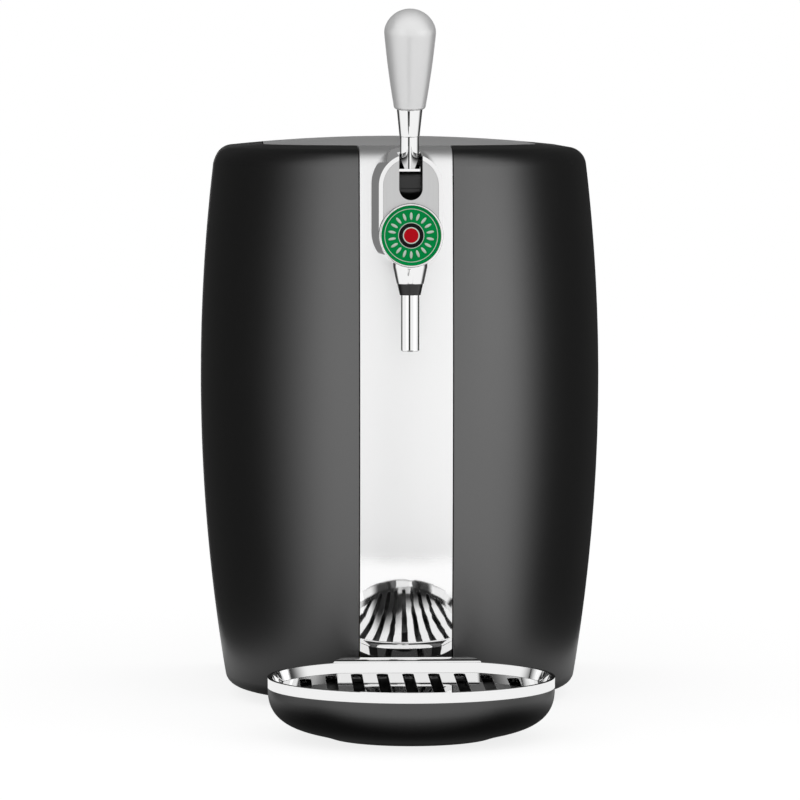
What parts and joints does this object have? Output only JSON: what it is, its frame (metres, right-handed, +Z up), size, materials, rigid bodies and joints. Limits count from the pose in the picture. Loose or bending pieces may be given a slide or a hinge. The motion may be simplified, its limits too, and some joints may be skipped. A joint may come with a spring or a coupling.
{
  "type": "mini keg beer dispenser",
  "caption": "Barrel-shaped cooled dispenser for a mini keg, with a hinged lid, a lever tap, a spout and a slide-out drip tray.",
  "frame": {"origin": "middle of the footprint, at the underside of the rubber feet", "axes": "+Z up, -Y towards the tap and the tray, +X to the right of someone facing the front"},
  "size_m": [0.269, 0.4526, 0.4594],
  "materials": {
    "panel": "fine satin charcoal",
    "bright_band": "polished",
    "dark_cover": "satin",
    "lid": "satin",
    "inner_plastic": "matt",
    "rubber": "matt",
    "foam": "open-cell foam",
    "liner": "brushed",
    "cold_metal": "milled",
    "ceramic": "white ceramic",
    "fan_plastic": "moulded",
    "board": "solder mask",
    "winding": "taped winding",
    "can": "sleeved",
    "steel": "plated",
    "chrome": "polished chrome",
    "satin_chrome": "satin",
    "pearl_grip": "pearl satin",
    "badge_green": "glossy enamel",
    "black_plastic": "gloss",
    "hose": "milky silicone",
    "tray_dark": "satin dark"
  },
  "bodies": {
    "casing": {"left_side_panel": "panel", "right_side_panel": "panel", "front_strip": "bright_band", "rear_cover": "dark_cover", "top_deck": "lid", "base_pan": "dark_cover", "rubber_feet": "rubber", "base_screws": "steel", "rear_cover_screws": "steel", "lid_hinge_pins": "steel", "chamber_liner": "liner", "keg_rest_pad": "rubber", "chamber_foam": "foam", "temperature_probe": "steel", "cold_block": "cold_metal", "peltier_module": "ceramic", "heat_sink": "cold_metal", "heat_sink_screws": "steel", "fan_screws": "steel", "fan_frame": "fan_plastic", "power_board": "board", "board_spacers": "steel", "board_screws": "steel", "board_transformer": "winding", "board_capacitors": "can", "power_switch_body": "black_plastic", "cord_gland": "rubber", "tap_housing": "chrome", "tap_face_plate": "satin_chrome", "tap_chassis": "black_plastic", "tap_mount_screws": "steel", "lever_pivot_pin": "steel", "badge_bezel": "chrome", "badge_disc": "badge_green", "pinch_spring": "steel", "beer_line": "hose", "keg_coupler": "black_plastic", "spout_cone": "chrome", "spout_collar": "black_plastic", "spout_tube": "chrome", "tray_rails": "dark_cover"},
    "lid": {"lid_cover": "lid", "lid_inner_panel": "inner_plastic", "lid_foam": "foam", "lid_gasket": "rubber"},
    "lever": {"lever_hub": "black_plastic", "lever_stem": "chrome", "lever_ferrule": "chrome", "lever_knob": "pearl_grip"},
    "plunger": {"pinch_plunger": "black_plastic"},
    "tray": {"tray_shell": "tray_dark", "tray_rim": "chrome"},
    "grille": {"drip_grille": "chrome"},
    "rotor": {"fan_rotor": "fan_plastic"},
    "rocker": {"power_switch_rocker": "black_plastic"}
  },
  "joints": [
    {"name": "lid_hinge", "type": "hinge", "parent": "casing", "child": "lid", "pos_m": [0, 0.1697, 0.366], "axis": [-1, 0, 0], "range_deg": [0, 95]},
    {"name": "lever_pivot", "type": "hinge", "parent": "casing", "child": "lever", "pos_m": [0, -0.1103, 0.345], "axis": [1, 0, 0], "range_deg": [0, 70]},
    {"name": "pinch_slide", "type": "slide", "parent": "casing", "child": "plunger", "axis": [0, 0, 1], "range_m": [0, 0.0021], "deforming": ["pinch_spring"]},
    {"name": "tray_slide", "type": "slide", "parent": "casing", "child": "tray", "axis": [0, -1, 0], "range_m": [0, 0.16]},
    {"name": "grille_lift", "type": "slide", "parent": "tray", "child": "grille", "axis": [0, 0, 1], "range_m": [0, 0.05]},
    {"name": "fan_spin", "type": "hinge", "parent": "casing", "child": "rotor", "pos_m": [0, 0.2075, 0.2], "axis": [0, 1, 0], "continuous": true},
    {"name": "switch_rock", "type": "hinge", "parent": "casing", "child": "rocker", "pos_m": [0.062, 0.2225, 0.084], "axis": [1, 0, 0], "range_deg": [0, 14]}
  ],
  "couplings": [
    {"joint": "pinch_slide", "follows": "lever_pivot", "m_per_rad": 0.001637}
  ]
}
